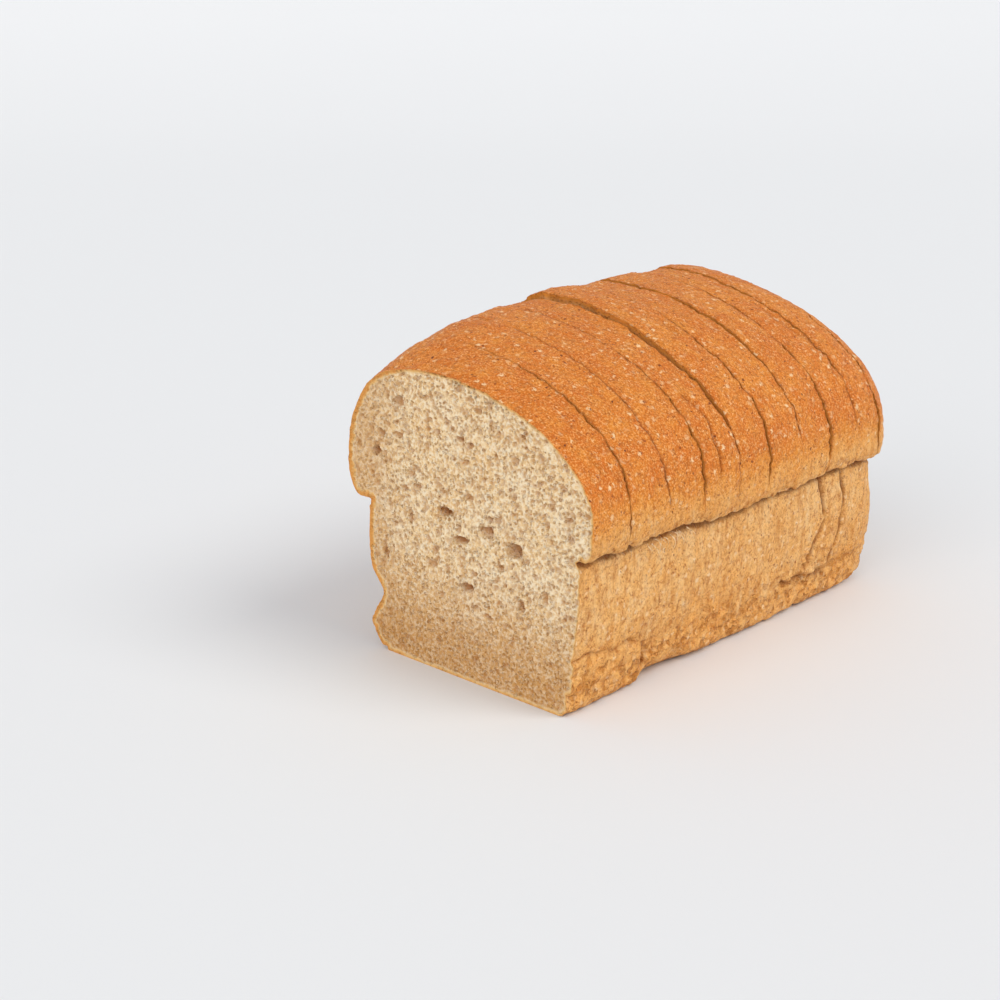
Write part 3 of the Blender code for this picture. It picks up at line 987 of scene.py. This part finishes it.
def crumb_material():
    """Bread crumb, torn open by the slicing blade: pale cream cell walls round bubbles with
    painted shade in them, a thin golden skin under the crust, a few bran specks, painted
    shade inside the cuts, and no gloss."""
    material = empty_material("open bread crumb")
    tree = material.node_tree
    place = add_node(tree, "TexCoord").outputs["Object"]
    across = add_node(tree, "SeparateXYZ", {"Vector": place})
    depth, pore, dark = (
        add_node(tree, "Attribute", attribute_name=name).outputs["Fac"]
        for name in ("depth", "pore", "dark")
    )
    ragged = bent(tree, place, 1.2, 0.7)

    # Cream and patchy, with painted shade that makes it browner towards the foot.
    broad = add_node(tree, "TexNoise", {"Vector": place, "Scale": 1 / (9.0 * MM), "Detail": 3.0})
    stops = ((0.25, "#f0c78f"), (0.50, "#f5d3a0"), (0.78, "#fbe1b8"))
    colour = add_node(tree, "ValToRGB", {"Fac": broad}, stops)
    colour, _ = tinted(tree, colour, "#cb9352", across.outputs["Z"], 42 * MM, 6 * MM, 0.85)

    # Small bubbles with painted shade in them, whose strength is drawn for each cell, and the
    # torn walls between them, with painted shade on the low crumbs and a painted highlight on
    # the raised ones.
    cells = {"Vector": ragged, "Scale": 1 / (1.05 * MM), "Randomness": 1.0}
    cells = add_node(tree, "TexVoronoi", cells)
    drawn = add_node(tree, "SeparateColor", {"Color": cells.outputs["Color"]})
    tone = {"Value": drawn, "From Min": 0.10, "From Max": 0.75}
    tone = add_node(tree, "MapRange", tone, interpolation_type="SMOOTHSTEP")
    distance = cells.outputs["Distance"]
    colour, bubbles = tinted(tree, colour, "#bb7a2e", distance, 0.50, 0.26, 0.50, tone)
    crumbs = {"Vector": ragged, "Scale": 1 / (0.85 * MM), "Detail": 3.0, "Roughness": 0.62}
    crumbs = add_node(tree, "TexNoise", crumbs)
    colour, _ = tinted(tree, colour, "#bf8133", crumbs, 0.48, 0.34, 0.30)
    # Fewer painted highlights towards the foot, which adds to the painted shade there.
    fewer = {"Value": across.outputs["Z"], "From Min": 42 * MM, "From Max": 6 * MM}
    fewer = fewer | {"To Min": 1.0, "To Max": 0.5}
    fewer = add_node(tree, "MapRange", fewer, interpolation_type="SMOOTHSTEP")
    colour, _ = tinted(tree, colour, "#fff0d4", crumbs, 0.46, 0.60, 0.62, fewer)
    # Painted shade inside the pores and the large holes.
    colour, _ = tinted(tree, colour, "#a05c14", pore, 0.0, 1.0, 0.92, curve="LINEAR")
    colour, _ = tinted(tree, colour, "#c98f4e", across.outputs["X"], -20 * MM, -42 * MM, 0.38)
    colour, _ = flecked(tree, colour, "#b5692a", ragged, 1.8, 0.22, 0.22, 0.3, 0.9)

    # The golden skin next to the crust, whose width wanders, and is widest at the left.
    edge = add_node(tree, "TexNoise", {"Vector": place, "Scale": 1 / (3.0 * MM), "Detail": 3.0})
    wider = {"Value": across, "From Min": -20 * MM, "From Max": -42 * MM}
    wider = wider | {"To Min": 0.8, "To Max": 1.9}
    wider = add_node(tree, "MapRange", wider, interpolation_type="SMOOTHSTEP")
    edge = add_node(tree, "Math", {0: edge, 1: wider}, operation="MULTIPLY")
    rim = add_node(tree, "Math", {0: edge, 1: -1.6 * MM, 2: depth}, operation="MULTIPLY_ADD")
    inward = {"Value": rim, "From Min": -0.9 * MM, "From Max": 1.0 * MM}
    inward = add_node(tree, "MapRange", inward, interpolation_type="SMOOTHSTEP")
    stops = ((0.0, "#dd9a50"), (0.35, "#ebb974"), (0.70, "#f3d09a"), (1.0, "#f8e0ba"))
    skin_colour = add_node(tree, "ValToRGB", {"Fac": inward}, stops)
    colour, _ = tinted(tree, colour, skin_colour, rim, 0.9 * MM, -0.1 * MM, 1.0)
    # Painted shade on the hidden cut faces inside the cuts, next to the crust.
    colour, _ = tinted(tree, colour, "#cc7f2a", dark, 0.0, 1.0, 0.92, curve="LINEAR")

    height = add_node(tree, "Math", {0: bubbles, 1: -1.6, 2: crumbs}, operation="MULTIPLY_ADD")
    relief = add_node(tree, "Bump", {"Height": height, "Strength": 1.0, "Distance": 0.45 * MM})
    finish = {"Base Color": colour, "Roughness": 0.92, "IOR": 1.35, "Normal": relief}
    shader = add_node(tree, "BsdfPrincipled", finish)
    add_node(tree, "OutputMaterial", {"Surface": shader})
    return material


def floor_material():
    """Matt painted studio board: a plain pale grey with no pattern."""
    material = empty_material("matt painted board")
    tree = material.node_tree
    finish = {"Base Color": "#e9e9ea", "Roughness": 0.75, "Specular IOR Level": 0.2}
    shader = add_node(tree, "BsdfPrincipled", finish)
    add_node(tree, "OutputMaterial", {"Surface": shader})
    return material


# ---------------------------------------------------------------- floor, lights and camera

FLOOR_RADII = np.array([0.3, 0.8, 1.5, 2.2, 3.0, 3.8, 4.6, 5.4, 6.2, 7.0, 8.0])
FLAT_RADIUS = 1.8
FLOOR_RISE = 1.6
FLOOR_SIDES = 96


def make_floor(material):
    """A round floor: rings about the middle, flat near the loaf, and rising far from it by
    the smooth step, so that it has no edge in view."""
    turn = np.linspace(0.0, 2 * math.pi, FLOOR_SIDES, endpoint=False)
    radius = np.repeat(FLOOR_RADII[:, None], FLOOR_SIDES, axis=1)
    rise = FLOOR_RISE * eased(radius, FLAT_RADIUS, FLOOR_RADII[-1])
    rings = np.stack([radius * np.cos(turn), radius * np.sin(turn), rise], axis=-1)
    index = np.arange(rings.shape[0] * FLOOR_SIDES).reshape(-1, FLOOR_SIDES)
    faces = [index[0].tolist()] + ring_quads(index).tolist()
    mesh = bpy.data.meshes.new("studio_floor")
    mesh.from_pydata(rings.reshape(-1, 3).tolist(), [], faces)
    mesh.materials.append(material)
    mesh.update()
    mesh.shade_smooth()
    floor = bpy.data.objects.new("studio_floor", mesh)
    bpy.context.scene.collection.objects.link(floor)


def turned_towards(place, target):
    """The matrix of something at place whose -Z looks at target, with its top upwards."""
    turn = (Vector(target) - Vector(place)).to_track_quat("-Z", "Y")
    return Matrix.Translation(place) @ turn.to_matrix().to_4x4()


def make_softbox(name, place, strength, spread, colour):
    """A softbox so far off that it lights the floor evenly: a sun that shines from place
    towards the loaf and is spread degrees wide."""
    light = bpy.data.lights.new(name, "SUN")
    light.energy = strength
    light.angle = math.radians(spread)
    light.color = linear(colour)[:3]
    holder = bpy.data.objects.new(name, light)
    holder.matrix_world = turned_towards(place, (0.0, 0.0, 0.0))
    bpy.context.scene.collection.objects.link(holder)


def make_daylight(colour, strength):
    """Even light from all round."""
    world = bpy.data.worlds.new("studio_air")
    world.use_nodes = True
    back = world.node_tree.nodes["Background"]
    back.inputs["Color"].default_value = linear(colour)
    back.inputs["Strength"].default_value = strength
    bpy.context.scene.world = world


CAMERA_PLACE = np.array([0.3081, -0.3134, 0.1934])
CAMERA_AZIMUTH = math.radians(43.3)
CAMERA_ELEVATION = math.radians(17.3)
CAMERA_LENS = 57.6


def make_camera():
    """The camera, from azimuth and elevation, with its place given from the front of the
    loaf's middle line."""
    data = bpy.data.cameras.new("camera")
    data.sensor_width = 36.0
    data.lens = CAMERA_LENS
    data.clip_end = 50.0
    camera = bpy.data.objects.new("camera", data)
    flat = math.cos(CAMERA_ELEVATION)
    ahead = Vector((
        -math.sin(CAMERA_AZIMUTH) * flat,
        math.cos(CAMERA_AZIMUTH) * flat,
        -math.sin(CAMERA_ELEVATION),
    ))
    place = Vector(CAMERA_PLACE + PLACE)
    camera.matrix_world = turned_towards(place, place + ahead)
    bpy.context.scene.collection.objects.link(camera)
    bpy.context.scene.camera = camera


def main():
    """Makes the bread, hands each piece to the frame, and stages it."""
    crust, crumb = crust_material(), crumb_material()
    pieces = [(make_slice(number, crust, crumb), NODES[number]) for number in range(len(SLICES))]
    pieces.append((make_heel(crust, crumb), "heel"))
    strands = make_strands(crust, crumb)
    for piece, node in pieces:
        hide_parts(node)
    for piece in [piece for piece, _ in pieces] + [strands]:
        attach(piece, "root")

    make_floor(floor_material())
    make_daylight("#f8fbff", 0.60)
    make_softbox("key_softbox", (1.0, 0.35, 1.1), 1.25, 32.0, "#fffefa")
    make_softbox("front_softbox", (0.25, -1.0, 0.6), 1.02, 45.0, "#ffffff")
    make_camera()
    bpy.context.scene.view_settings.view_transform = "Standard"


main()
